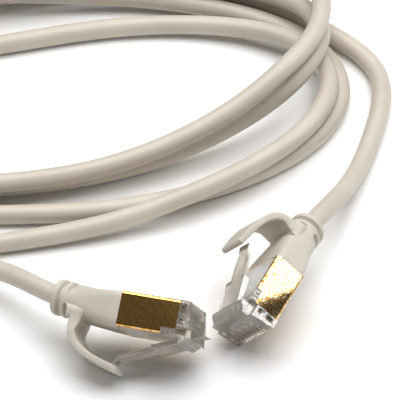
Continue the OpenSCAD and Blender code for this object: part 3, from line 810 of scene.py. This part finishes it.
def notch_ribs(side):
    """Upright ribs on the nose where it stands out of the shield's notches: each is a rounded
    oblong section carried up the narrow side, half sunk into it and smaller at its two ends."""
    half_t, half_out, corner = 0.14 * MM, 0.2 * MM, 0.1 * MM
    face_y, end_l = 5.85 * MM, 0.08 * MM
    z = np.r_[NOTCH_Z[0], np.linspace(*(NOTCH_Z + [end_l, -end_l]), 4), NOTCH_Z[1]]
    grow = np.r_[0.7, 1, 1, 1, 1, 0.7]
    section = oblong(half_t * grow, half_out * grow, corner * grow, arc=3)
    parts = []
    for y in (-face_y, face_y):
        for x in np.linspace(*NOTCH_X, RIBS):
            points = np.stack([
                x + section[..., 0], y + section[..., 1],
                np.broadcast_to(z[:, None], section.shape[:2])], axis=-1)
            parts.append((points, capped(len(z), section.shape[1])))
    points, faces = joined(parts)
    ribs = piece(f"notch_ribs_{side}", placed(points, side), faces, CLEAR, "cable")


GATE_AT = np.array([13.45, -4.3, 1.45]) * MM
GATE_L, GATE_R = 1.85 * MM, 0.46 * MM


def gate_stub():
    """What is left of the gate on plug A's nose: a cone whose radius falls as (1 - t)^0.8."""
    sides = 16
    t = np.array([0, 0.15, 0.3, 0.5, 0.7, 0.85, 0.95, 1])
    radius = GATE_R * np.maximum(1 - t, 0.03) ** 0.8
    angle = 2 * pi * np.arange(sides) / sides
    points = np.stack([
        np.broadcast_to(t[:, None] * GATE_L, (len(t), sides)),
        radius[:, None] * np.cos(angle), radius[:, None] * np.sin(angle)], axis=-1) + GATE_AT
    points = placed(points.reshape(-1, 3), "a")
    stub = piece("gate_stub_a", points, capped(len(t), sides), CLEAR, "cable")


WAYS, PITCH, STAGGER = 8, 1.02 * MM, 0.96 * MM
WIRE_R, WIRE_Z = 0.45 * MM, 0.35 * MM
BUNDLE_R = 1.34 * MM        # of the ring that the wires form in the jacket
FAN_X = np.array([0.5, 4.2]) * MM
JACKET_X, WIRE_END_X = -1 * MM, 12.1 * MM


def wire_run(way):
    """A wire's line in the plug's frame: out of the ring in the jacket, fanning out by
    0.75 t + 0.25 smooth_step(t) into the upper or the lower row, and straight on to its contact."""
    row = -1 if way % 2 == 0 else 1
    around = radians((157.5 - 45 * (way // 2)) * row)
    start = BUNDLE_R * np.array([np.cos(around), np.sin(around)]) - [0, CABLE_DROP]
    end = np.array([(way - (WAYS - 1) / 2) * PITCH, WIRE_Z + row * STAGGER / 2])
    x = np.r_[JACKET_X - 0.5 * MM, np.linspace(*FAN_X, 15), WIRE_END_X]
    t = np.clip((x - FAN_X[0]) / (FAN_X[1] - FAN_X[0]), 0, 1)
    ease = 0.75 * t + 0.25 * smooth_step(t)
    return np.c_[x, start + ease[:, None] * (end - start)]


def core_wires(side):
    """The eight wires, each a round tube with its colour's stripe along it, turned from wire to
    wire."""
    sides = 14
    for way, material in enumerate(WIRES):
        line = wire_run(way)
        points = tube_points(line, np.full((len(line), 1), WIRE_R), sides)
        around = (np.arange(sides) + 0.5 * way) % sides / sides
        uv = np.stack(np.broadcast_arrays(line[:, None, 0], around[None]), axis=-1)
        piece(f"core_wire_{way + 1}_{side}", placed(points.reshape(-1, 3), side),
                          capped(len(line), sides), material, "cable", uv=uv.reshape(-1, 2))
    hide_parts(f"wires_{side}")


def jacket_tail(side):
    """The last of the jacket, from the boot's rear ring to where its wires come out: a tube round
    a line that straightens at the collar's pivot."""
    step, sides = 0.4 * MM, JACKET_SIDES
    line = spaced(np.array([on_collar(-BOOT_L), COLLAR_PIVOT, [JACKET_X, 0, -CABLE_DROP]]), step)
    line = relaxed(line, step, 2 * step)
    points = tube_points(line, np.full((len(line), 1), CABLE_R - 0.01 * MM), sides)
    around = np.arange(sides) / sides
    uv = np.stack(np.broadcast_arrays(run_of(line)[:, None], around[None]), axis=-1)
    tail = piece(f"jacket_tail_{side}", placed(points.reshape(-1, 3), side),
                 capped(len(line), sides), JACKET, "cable", uv=uv.reshape(-1, 2))
    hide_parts(f"jacket_end_{side}")


def finish_node(node, material):
    """A CAD node that shows as it is, with its own material."""
    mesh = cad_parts[node].data
    mesh.materials.clear()
    mesh.materials.append(material)


for side in PLUGS:
    boot_shell(side)
    guard_strap(side)
    clear_copy(f"clear_nose_{side}", f"housing_{side}", "cable")
    clear_copy(f"clear_latch_{side}", f"latch_{side}", f"latch_{side}")
    notch_ribs(side)
    core_wires(side)
    jacket_tail(side)
    finish_node(f"shield_{side}", GOLD[side])
    finish_node(f"contacts_{side}", BLADE)
    finish_node(f"load_bar_{side}", FROSTED)
    finish_node(f"crimp_ferrule_{side}", NICKEL)
gate_stub()
